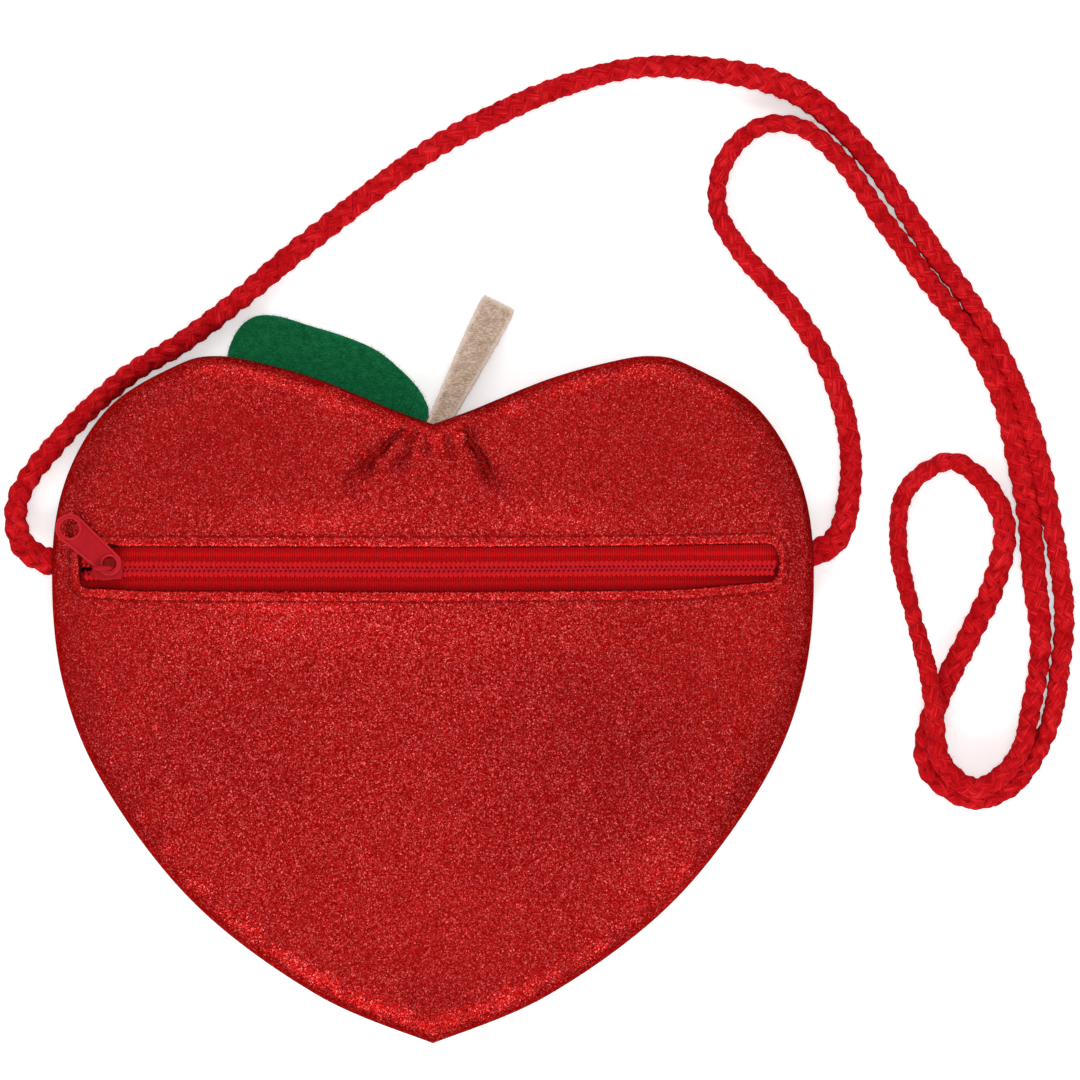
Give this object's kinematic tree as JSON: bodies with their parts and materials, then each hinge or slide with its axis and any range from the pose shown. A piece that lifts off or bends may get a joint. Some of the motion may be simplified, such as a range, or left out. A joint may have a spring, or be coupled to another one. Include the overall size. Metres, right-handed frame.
{
  "type": "heart-shaped shoulder bag",
  "caption": "Flat heart-shaped apple shoulder bag in glitter cloth, with a zip across its front, a felt leaf and stem at the cleft and a long braided shoulder cord.",
  "frame": {"origin": "middle of the flat of the back panel, where the bag rests on a surface, level with half the heart's height", "axes": "+X to the right across the front, +Y up the bag from the tip to the cleft, +Z out of the front"},
  "size_m": [0.2854, 0.2637, 0.0204],
  "materials": {
    "glitter_cloth": "glitter",
    "wadding": "matte",
    "lining": "satin",
    "thread": "satin",
    "zip_tape": "matte",
    "zip_coil": "satin",
    "slider_paint": "satin",
    "green_felt": "matte",
    "beige_felt": "matte",
    "cord_braid": "matte"
  },
  "bodies": {
    "bag": {"front_panel": "glitter_cloth", "back_panel": "glitter_cloth", "front_wadding": "wadding", "back_wadding": "wadding", "front_lining": "lining", "back_lining": "lining", "window_topstitch": "thread", "bottom_stop": "zip_coil", "leaf": "green_felt", "stem": "beige_felt", "shoulder_cord": "cord_braid"},
    "slider": {"slider_body": "slider_paint", "slider_bail": "slider_paint"},
    "pull": {"pull_tab": "slider_paint"},
    "upper_lip": {"upper_zip_tape": "zip_tape", "upper_zip_coil": "zip_coil", "upper_top_stop": "zip_coil"},
    "lower_lip": {"lower_zip_tape": "zip_tape", "lower_zip_coil": "zip_coil", "lower_top_stop": "zip_coil"}
  },
  "joints": [
    {"name": "slider_travel", "type": "slide", "parent": "bag", "child": "slider", "axis": [1, 0, 0], "range_m": [0, 0.172], "deforming": ["upper_zip_coil", "lower_zip_coil"]},
    {"name": "pull_flip", "type": "hinge", "parent": "slider", "child": "pull", "pos_m": [-0.0844, 0.0348, 0.01828], "axis": [0, 1, 0], "range_deg": [0, 180]},
    {"name": "upper_lip_part", "type": "hinge", "parent": "bag", "child": "upper_lip", "pos_m": [0.0927, 0.0348, 0.01425], "axis": [0, 0, -1], "range_deg": [0, 2]},
    {"name": "lower_lip_part", "type": "hinge", "parent": "bag", "child": "lower_lip", "pos_m": [0.0927, 0.0348, 0.01425], "axis": [0, 0, 1], "range_deg": [0, 2]}
  ],
  "couplings": [
    {"joint": "upper_lip_part", "follows": "slider_travel", "rad_per_m": 0.2029},
    {"joint": "lower_lip_part", "follows": "slider_travel", "rad_per_m": 0.2029}
  ]
}
